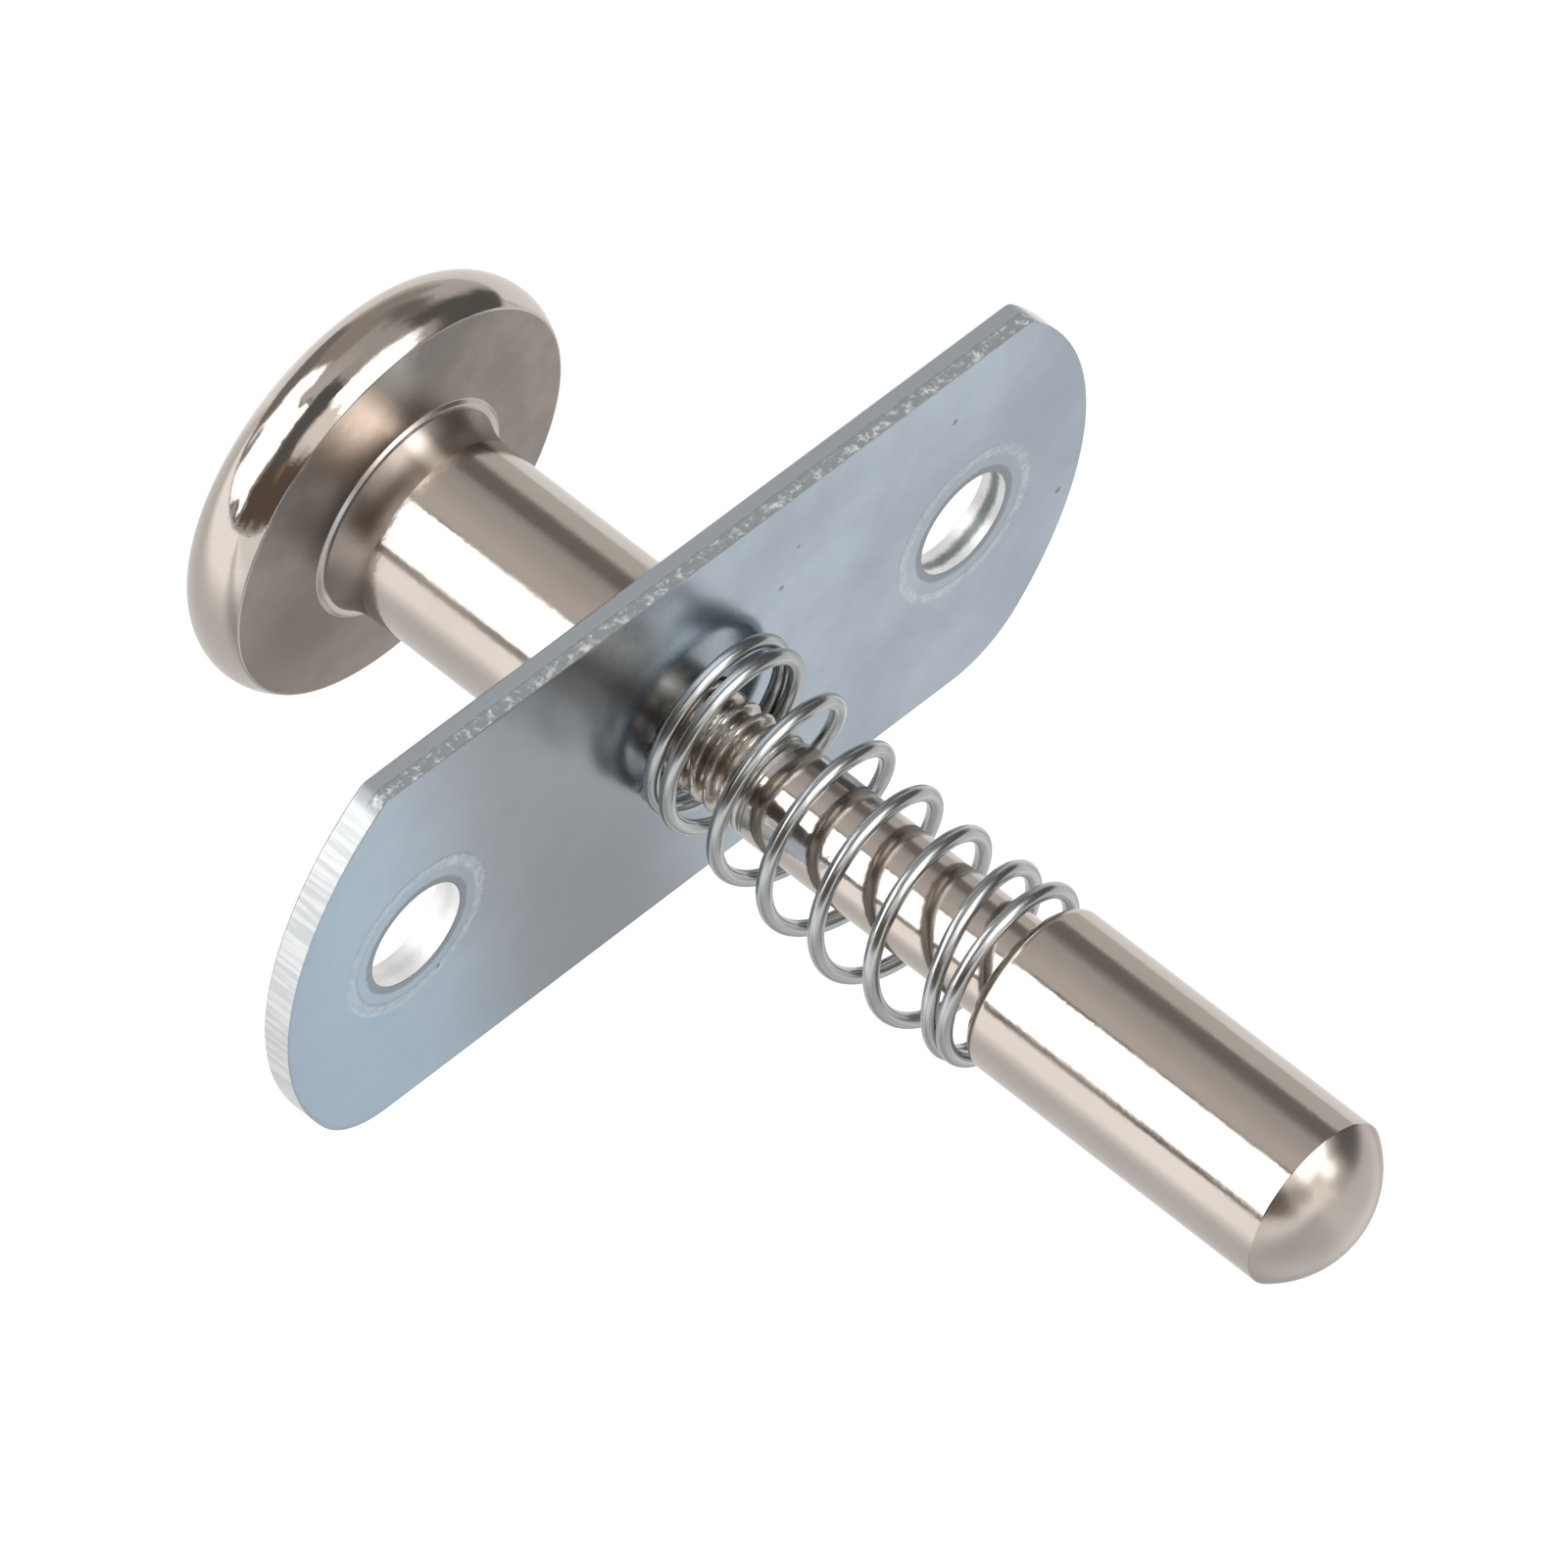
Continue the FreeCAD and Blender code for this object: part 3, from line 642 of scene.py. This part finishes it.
def makePin():
    # The dome, nose, shoulder and rod are a profile turned about Y. The thread is the same
    # kind of grid, whose radius falls by a rounded saw of (turns along Y minus turns round).
    size = pinSizes
    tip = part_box("pin")[0].y / mm
    centre = tip + size["domeRadius"]
    drop = math.degrees(math.asin((size["domeCrease"] - centre) / size["domeRadius"]))
    dome = arcPoints((0, centre), size["domeRadius"], size["domeFrom"], drop, size["domeSteps"])
    corners = dome[:-1] + [
        (size["noseRadius"], size["domeCrease"], size["creaseRound"]),
        (size["noseRadius"], size["shoulder"], size["shoulderRound"]),
        (size["rodRadius"], size["shoulder"], size["rodFillet"]),
        (size["rodRadius"], size["threadFrom"], 0.0)]
    profile = roundedProfile(corners, size["perRounding"])
    angle = circleAngles(size["around"])
    front = ringsAboutY(profile[:, :1], profile[:, 1:], angle)

    length = size["threadTo"] - size["threadFrom"]
    rows = int(length / size["threadPitch"] * size["rowsPerPitch"])
    y = np.linspace(size["threadFrom"], size["threadTo"], rows + 1)[1:, None]
    phase = (y / size["threadPitch"] + angle / (2 * np.pi)) % 1.0
    groove = eased(size["grooveLevel"] - np.abs(phase - 0.5) * size["grooveSlope"])
    after, over = size["runIn"]
    runIn = np.clip((y - size["threadFrom"] - after) / over, 0, 1)
    chamfer = np.clip(y - size["threadTo"] + size["endChamfer"], 0, None)
    radius = size["threadRadius"] - size["threadDepth"] * groove * runIn
    radius = np.minimum(radius, size["threadRadius"] - chamfer)
    rings = np.concatenate([front, ringsAboutY(radius, y, angle)])
    pin = turnedMesh("turnedPin", (0, tip * mm, 0), rings, (0, size["threadTo"] * mm, 0),
                     nickel, ((satinNickel, -1, len(dome) - 1),
                              (threadSteel, len(front) - 1, len(rings))))
    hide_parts("pin")
    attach(pin, "plunger")


makePin()
print("pin made")


knobSizes = {
    # lengths, and places along Y, in mm
    "seat": 1.8,
    "seatRounds": (0.1, 0.3),   # rounding at the bore and outside
    "shankRadius": 5.7,
    "shankEnd": 18.2,
    "neckHeight": 2.2,
    "neckFlare": 0.7,
    "skirtRise": 0.6,
    "skirtRadius": 12.1,
    "rimCentre": 9.6,
    "rimRadius": 3.1,
    "crownRise": 2.4,
    "crownTo": 89.7,          # degrees, just beside the top
    "lip": (6.62, 20.22, 0.14),   # radius, height and rounding, on the neck's edge
    "lipFoot": (6.8, 20.45, 0.05),
    "creaseRounding": 0.15,   # edge of the underside
    "boreRadius": 2.96,
    "boreEnd": 15.2,
    "drillTip": 16.97,
    "drillFlat": (0.05, 0.02),    # radius of the first ring, and how far it is from the tip
    "neckSteps": 14,
    "rimSteps": 36,
    "crownSteps": 40,
    "perRounding": 6,
    "around": 192,
}


def makeKnob():
    # One profile from the drill's tip down the bore, round the seat, up the shank, along the
    # neck, skirt, rim and crown to the top of the axis, turned about Y.
    size = knobSizes
    ringY = size["shankEnd"] + size["neckHeight"]
    neckRadius = (size["neckFlare"] ** 2 + size["neckHeight"] ** 2) / (2 * size["neckFlare"])
    neckTurn = math.degrees(math.asin(size["neckHeight"] / neckRadius))
    skirtY = ringY + size["skirtRise"]
    overhang = size["skirtRadius"] - size["rimCentre"]
    rimY = skirtY + math.sqrt(size["rimRadius"] ** 2 - overhang ** 2)
    rise = size["rimRadius"] + size["crownRise"]
    crownRadius = size["rimCentre"] ** 2 + rise ** 2 - size["rimRadius"] ** 2
    crownRadius /= 2 * size["crownRise"]
    crownY = rimY + rise - crownRadius
    rimTop = math.degrees(math.atan2(rimY - crownY, size["rimCentre"]))
    skirtAngle = math.degrees(math.atan2(skirtY - rimY, overhang))
    neck = arcPoints((size["shankRadius"] + neckRadius, size["shankEnd"]), neckRadius,
                     180, 180 - neckTurn, size["neckSteps"])
    rim = arcPoints((size["rimCentre"], rimY), size["rimRadius"], skirtAngle, rimTop,
                    size["rimSteps"])
    crown = arcPoints((0, crownY), crownRadius, rimTop, size["crownTo"], size["crownSteps"])
    firstRadius, firstDrop = size["drillFlat"]
    boreRound, outerRound = size["seatRounds"]
    corners = [
        (firstRadius, size["drillTip"] - firstDrop, 0.0),
        (size["boreRadius"], size["boreEnd"], 0.0),
        (size["boreRadius"], size["seat"], boreRound),
        (size["shankRadius"], size["seat"], outerRound)]
    corners += neck[:-1]
    corners += [size["lip"], size["lipFoot"]]
    corners += [(size["skirtRadius"], skirtY, size["creaseRounding"])]
    corners += rim[1:] + crown[1:]
    profile = roundedProfile(corners, size["perRounding"])

    # rows where the matt underside and, inside it, the turned lip begin and end
    middle = (size["shankRadius"] + size["skirtRadius"]) / 2
    skirtRow = np.flatnonzero((profile[:-1, 0] < middle) & (profile[1:, 0] > middle))[0]
    slack = 0.01
    neckRow = np.flatnonzero(profile[:skirtRow, 1] <= size["shankEnd"] + slack)[-1]
    lipRow = skirtRow - 2 * (size["perRounding"] + 1) - 1
    rings = ringsAboutY(profile[:, :1], profile[:, 1:], circleAngles(size["around"]))
    knob = turnedMesh("turnedKnob", (0, size["drillTip"] * mm, 0), rings,
                      (0, (rimY + rise) * mm, 0), nickel,
                      ((mattNickel, neckRow, skirtRow + 1), (satinNickel, lipRow, skirtRow)))
    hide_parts("knob")
    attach(knob, "plunger")


makeKnob()
print("knob made")


springSizes = {
    # lengths, and places along Y, in mm
    "meanRadius": 5.07,
    "wireRadius": 0.45,
    "firstHeight": -0.47,     # centre of the wire at the plate
    "lastHeight": -23.05,     # centre of the wire at the shoulder
    "rearPitch": 0.93,
    "frontPitch": 0.91,
    "rearTurns": 1.75,
    "openTurns": 5.2,
    "frontTurns": 1.2,
    "startAngle": 213.2,      # degrees from +X towards +Z
    # The spring bows sideways. With t from 0 at the plate to 1 at the shoulder, these are the
    # cubic's factors of t^3, t^2, t and 1, in mm along the start angle and 90 degrees before it.
    "bowAlong": (-3.179, 1.478, 2.816, -1.008),
    "bowAcross": (-1.699, 4.871, -2.973, 0.43),
    "tilt": 0.82,             # share of the bow's slope by which each coil tips over
    "seats": (0.3, 0.15),     # mm at the plate and the shoulder in which no coil tips
    "seatFade": 3.0,          # mm over which the tip grows
    "perTurn": 72,
    "around": 18,
    "keptLength": 0.316,      # share of its length with the knob pulled out
}


def makeSpring():
    # The wire's centre turns about a bowed line along Y while its height follows the turns:
    # slowly in the closed coils, faster between them. Each coil tips with the line's slope.
    # A circle is carried along the wire, square to its path.
    size = springSizes
    turns = size["rearTurns"] + size["openTurns"] + size["frontTurns"]
    turn = np.linspace(0, turns, int(turns * size["perTurn"]) + 1)
    rear = size["rearPitch"] * size["rearTurns"]
    front = size["frontPitch"] * size["frontTurns"]
    whole = size["firstHeight"] - size["lastHeight"]
    fall = np.interp(turn, [0, size["rearTurns"], turns - size["frontTurns"], turns],
                     [0, rear, whole - front, whole])
    half = size["perTurn"] // 8   # the pitch changes over a quarter turn
    blur = np.ones(2 * half + 1) / (2 * half + 1)
    padded = np.pad(fall, half, mode="reflect", reflect_type="odd")
    y = size["firstHeight"] - np.convolve(padded, blur, mode="valid")

    angle = np.radians(size["startAngle"]) + 2 * np.pi * turn
    start = np.radians(size["startAngle"])
    along = np.array([np.cos(start), 0, np.sin(start)])
    across = np.array([np.sin(start), 0, -np.cos(start)])
    outward = np.stack([np.cos(angle), 0 * angle, np.sin(angle)], -1)
    t = y / (size["lastHeight"] - size["wireRadius"])
    shift = (np.polyval(size["bowAlong"], t)[:, None] * along
             + np.polyval(size["bowAcross"], t)[:, None] * across)
    slope = (np.polyval(np.polyder(size["bowAlong"]), t) * (outward @ along)
             + np.polyval(np.polyder(size["bowAcross"]), t) * (outward @ across))
    slope /= size["lastHeight"] - size["wireRadius"]
    rearSeat, frontSeat = size["seats"]
    free = np.minimum(-y - rearSeat, y - size["lastHeight"] + frontSeat) / size["seatFade"]
    y = y - size["tilt"] * size["meanRadius"] * eased(free) * slope
    y = np.clip(y, size["lastHeight"], size["firstHeight"])

    centre = size["meanRadius"] * outward + shift
    centre[:, 1] = y
    path = np.gradient(centre, axis=0)
    path /= np.linalg.norm(path, axis=1, keepdims=True)
    outward = outward - path * np.sum(outward * path, 1, keepdims=True)
    outward /= np.linalg.norm(outward, axis=1, keepdims=True)
    side = np.cross(path, outward)
    about = circleAngles(size["around"])
    rings = centre[:, None] + size["wireRadius"] * (
        np.cos(about)[None, :, None] * outward[:, None]
        + np.sin(about)[None, :, None] * side[:, None])
    spring = turnedMesh("coilSpring", centre[0] * mm, rings * mm, centre[-1] * mm, springSteel)
    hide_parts("spring")
    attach(spring, "base")
    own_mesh(spring)


makeSpring()
print("spring made")


plateSizes = {
    # lengths in mm
    "length": 60.0,
    "width": 26.4,
    "thickness": 1.8,
    "endRadius": 17.8,
    "upperRound": 0.8,        # corners at +Z
    "lowerRound": 6.0,        # corners at -Z
    "frontEdge": 0.06,        # rounding of the front face's edge and of the holes'
    "rolledEdge": 0.25,       # rounding of the back face's outer edge
    "perRounding": 6,
    "faceInset": (0.3, 0.6),  # from the edge to the two rings of points on each flat face
    # place along X, radius at the back, and how much wider the hole is at the front
    "holes": ((0, 3.1, 0.0), (20.65, 3.4, 0.2), (-20.65, 3.4, 0.2)),
    "perArc": 40,
    "aroundHole": 96,
}


def plateOutline():
    # Points round the plate, (x, z) in mm, with the direction out of the sheet at each. An end
    # arc and a straight side are joined by a fillet that is tangent to both: its centre lies
    # one fillet inside the side, and the radii's difference from the end arc's centre.
    size = plateSizes
    half = size["width"] / 2
    endCentre = size["length"] / 2 - size["endRadius"]
    fillets = []
    for fillet in (size["upperRound"], size["lowerRound"]):
        away = math.sqrt((size["endRadius"] - fillet) ** 2 - (half - fillet) ** 2)
        fillets.append((fillet, endCentre + away, math.degrees(math.atan2(half - fillet, away))))
    (upper, upperX, upperTurn), (lower, lowerX, lowerTurn) = fillets
    arcs = (
        (endCentre, 0, size["endRadius"], -lowerTurn, upperTurn),
        (upperX, half - upper, upper, upperTurn, 90),
        (-upperX, half - upper, upper, 90, 180 - upperTurn),
        (-endCentre, 0, size["endRadius"], 180 - upperTurn, 180 + lowerTurn),
        (-lowerX, lower - half, lower, 180 + lowerTurn, 270),
        (lowerX, lower - half, lower, 270, 360 - lowerTurn))
    points, outward = [], []
    for x, z, radius, fromAngle, toAngle in arcs:
        angle = np.radians(np.linspace(fromAngle, toAngle, size["perArc"]))
        # an arc's last point is the next arc's first, but not where a straight side follows
        if toAngle not in (90, 270):
            angle = angle[:-1]
        away = np.stack([np.cos(angle), np.sin(angle)], -1)
        points.append((x, z) + radius * away)
        outward.append(away)
    return np.concatenate(points), np.concatenate(outward)


def makePlate():
    # The section of the sheet's edge is swept round the outline and round each hole, and the
    # flat faces between them are filled with triangles.
    size = plateSizes
    deep = size["thickness"]
    front, rolled = size["frontEdge"], size["rolledEdge"]
    near, far = size["faceInset"]
    points, outward = plateOutline()
    turn = circleAngles(size["aroundHole"])
    circle = np.stack([np.cos(turn), np.sin(turn)], -1)
    edges = [(points, outward, 0.0, rolled)]
    edges += [((x, 0) + radius * circle, -circle, taper, front)
              for x, radius, taper in size["holes"]]
    allPoints, allQuads, first = [], [], 0
    for points, outward, taper, back in edges:
        # (depth into the sheet, place along Y, rounding)
        section = roundedProfile([(far, 0, 0), (near, 0, 0), (-taper, 0, front),
                                  (0, deep, back), (near, deep, 0), (far, deep, 0)],
                                 size["perRounding"])
        flat = points - section[:, :1, None] * outward
        y = section[:, 1:] + 0 * flat[..., 0]
        allPoints.append(np.stack([flat[..., 0], y, flat[..., 1]], -1).reshape(-1, 3) * mm)
        allQuads.append(ringQuads(len(section), len(points), first))
        first += len(section) * len(points)
    mesh = newMesh("sheetPlate", np.concatenate(allPoints), np.concatenate(allQuads),
                   np.empty((0, 3), int))

    work = bmesh.new()
    work.from_mesh(mesh)
    slack = 1e-6
    for y in (0, deep):
        border = [edge for edge in work.edges
                  if edge.is_boundary and abs(edge.verts[0].co.y - y * mm) < slack]
        bmesh.ops.triangle_fill(work, use_beauty=True, edges=border)
    bmesh.ops.recalc_face_normals(work, faces=work.faces)
    work.to_mesh(mesh)
    work.free()
    mesh.polygons.foreach_set("use_smooth", np.ones(len(mesh.polygons), bool))
    mesh.materials.append(zinc)
    plate = addObject("sheetPlate", mesh)
    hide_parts("plate")
    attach(plate, "base")


makePlate()
print("plate made")


studio = {
    "floorHeight": -150.0,    # mm
    "floorSize": 8.0,         # m
    "paper": "#f2f2f2",
    "paperRoughness": 0.9,
    "paperLift": 0.2,         # light of its own, seen by the camera alone
    "room": (0.44, 0.43, 0.42),
    "clutterSize": 0.22,      # of the cards' uneven patches, where 1 is the way to the cards
    "clutterAngle": (-4.0, 4.0),    # degrees by which their edges wander
    "clutterY": (-0.05, 0.05),      # share of Y by which they do
    # Cards and dark screens round the part, seen only in its metal: colour, then from and to
    # in degrees about the pin's axis from +X towards +Z, from and to in share of +Y, and the
    # softness of both.
    "cards": (
        ((0.56, 0.55, 0.53), -40, 34, 0.25, 1.2, 4, 0.1),
        ((0.62, 0.59, 0.57), 92, 118, 0.20, 0.70, 46, 0.1),
        ((0.33, 0.31, 0.295), 10, 92, 0.58, 0.97, 20, 0.1),
        ((0.19, 0.175, 0.17), 33, 57, 0.15, 0.60, 16, 0.1),
        ((0.11, 0.11, 0.105), -8, 40, -0.74, 0.17, 10, 0.08),
        ((0.11, 0.11, 0.105), 30, 57, -0.18, 0.17, 8, 0.08),
        ((0.95, 0.92, 0.89), 104, 137, -0.80, -0.25, 10, 0.1),
        ((0.12, 0.09, 0.07), 136, 180, -0.88, 0.20, 9, 0.06),
        ((0.26, 0.185, 0.085), 139, 151, -0.34, -0.16, 5, 0.06),
        ((0.11, 0.11, 0.105), 98, 150, -0.22, 0.24, 9, 0.08),
        ((2.2, 2.2, 2.2), 54, 107, -0.88, -0.20, 7, 0.08),
        ((2.2, 2.2, 2.2), 36, 60, -0.91, -0.76, 8, 0.06),
        ((1.9, 1.9, 1.9), 92, 188, 0.62, 0.90, 8, 0.08),
        ((0.14, 0.13, 0.125), 112.5, 178, 0.24, 0.60, 2, 0.06),
        ((2.4, 2.4, 2.4), 116, 175, 0.28, 0.90, 1.5, 0.04),
        ((0.22, 0.21, 0.20), -180, 180, 0.92, 1.2, 1, 0.06),
        ((1.2, 1.15, 1.1), -180, 180, -1.2, -0.96, 1, 0.08),
    ),
    # how bright the floor is in the metal, by place: mm along X, then along Y. The dip near and
    # under the part is a painted shadow of the part
    "floorAlongX": ((-330, 1.15), (-100, 0.64), (40, 0.72), (100, 0.95), (220, 0.85)),
    "floorAlongY": ((-210, 0.8), (-85, 0.95), (-30, 0.62), (30, 1.0)),
}


def makeFloor():
    # A level sheet of white paper that keeps the part's soft shadow. In the metal it is bright
    # beside the part and darker far in front of it, with a painted shadow near and under the part.
    half = studio["floorSize"] / 2
    z = studio["floorHeight"] * mm
    mesh = bpy.data.meshes.new("floor")
    mesh.from_pydata([(-half, -half, z), (half, -half, z), (half, half, z), (-half, half, z)],
                     [], [(0, 1, 2, 3)])
    floor = addObject("floor", mesh)
    material, tree, shader = newMaterial("whitePaper")
    ray = addNode(tree, "LightPath")
    lift = addNode(tree, "Math", (ray.outputs["Is Camera Ray"], studio["paperLift"]),
                   operation="MULTIPLY")
    setInputs(tree, shader, {
        "Base Color": studio["paper"], "Roughness": studio["paperRoughness"],
        "Emission Color": "#ffffff", "Emission Strength": lift})
    place = addNode(tree, "TexCoord").outputs["Object"]
    x, y, z = addNode(tree, "SeparateXYZ", (place,)).outputs
    # levels by place, whose dip near the part is a painted shadow
    levels = (banded(tree, x, studio["floorAlongX"]), banded(tree, y, studio["floorAlongY"]))
    level = addNode(tree, "Math", levels, operation="MULTIPLY")
    seenInMetal = addNode(tree, "Emission", {"Strength": level})
    choose = addNode(tree, "MixShader", (ray.outputs["Is Glossy Ray"], shader, seenInMetal))
    setInputs(tree, tree.nodes["Material Output"], {"Surface": choose})
    mesh.materials.append(material)


def makeStudio():
    # Even white light for paper and shadows. Metal sees the room and its cards instead.
    world = bpy.data.worlds.new("studio")
    bpy.context.scene.world = world
    world.use_nodes = True
    tree = world.node_tree
    tree.nodes.clear()
    way = addNode(tree, "TexCoord").outputs["Generated"]
    x, y, z = addNode(tree, "SeparateXYZ", (way,)).outputs
    # a direction has a length of 1 and no unit, so its patches are not in mm
    ragged = unevenness(tree, way, studio["clutterSize"] / mm, 3.0)
    angle = addNode(tree, "Math", (z, x), operation="ARCTAN2")
    angle = addNode(tree, "Math", (angle,), operation="DEGREES")
    wander = addNode(tree, "MapRange", (ragged, *mostNoise, *studio["clutterAngle"]), **smooth)
    angle = addNode(tree, "Math", (angle, wander), operation="ADD")
    wander = addNode(tree, "MapRange", (ragged, *mostNoise, *studio["clutterY"]), **smooth)
    height = addNode(tree, "Math", (y, wander), operation="ADD")
    seen = (*studio["room"], 1)
    for colour, fromAngle, toAngle, fromY, toY, softAngle, softY in studio["cards"]:
        sides = (inside(tree, angle, fromAngle, toAngle, softAngle),
                 inside(tree, height, fromY, toY, softY))
        share = addNode(tree, "Math", sides, operation="MULTIPLY")
        card = addNode(tree, "Mix", {0: share, 6: seen, 7: (*colour, 1)}, **inColour)
        seen = card.outputs[2]
    ray = addNode(tree, "LightPath")
    metalSees = addNode(tree, "Background", {"Color": seen, "Strength": 1.0})
    white = addNode(tree, "Background", {"Color": "#ffffff", "Strength": 1.0})
    choose = addNode(tree, "MixShader", (ray.outputs["Is Glossy Ray"], white, metalSees))
    addNode(tree, "OutputWorld", (choose,))


makeFloor()
makeStudio()
print("studio made")

view = {
    "azimuth": -52.46,        # degrees
    "elevation": 49.01,
    "roll": 7.39,
    "distance": 966.9,        # mm
    "focal": 11.9834,         # of the frame's width
    "sensor": 36.0,           # mm
    "target": (0.39, -6.04, 0.34),
}


def makeCamera():
    # The camera looks at the target from its azimuth and elevation, then rolls.
    azimuth, elevation, roll = (math.radians(view[k]) for k in ("azimuth", "elevation", "roll"))
    back = Vector((math.sin(azimuth) * math.cos(elevation),
                   -math.cos(azimuth) * math.cos(elevation), math.sin(elevation)))
    level = Vector((math.cos(azimuth), math.sin(azimuth), 0))
    rise = back.cross(level)
    right = level * math.cos(roll) + rise * math.sin(roll)
    up = rise * math.cos(roll) - level * math.sin(roll)
    data = bpy.data.cameras.new("camera")
    data.sensor_width = view["sensor"]
    data.lens = view["focal"] * view["sensor"]
    camera = addObject("camera", data)
    place = (Vector(view["target"]) + back * view["distance"]) * mm
    turn = Matrix((right, up, back)).transposed().to_4x4()
    camera.matrix_world = Matrix.Translation(place) @ turn
    bpy.context.scene.camera = camera


makeCamera()
bpy.context.scene.view_settings.view_transform = "Standard"
print("camera set")
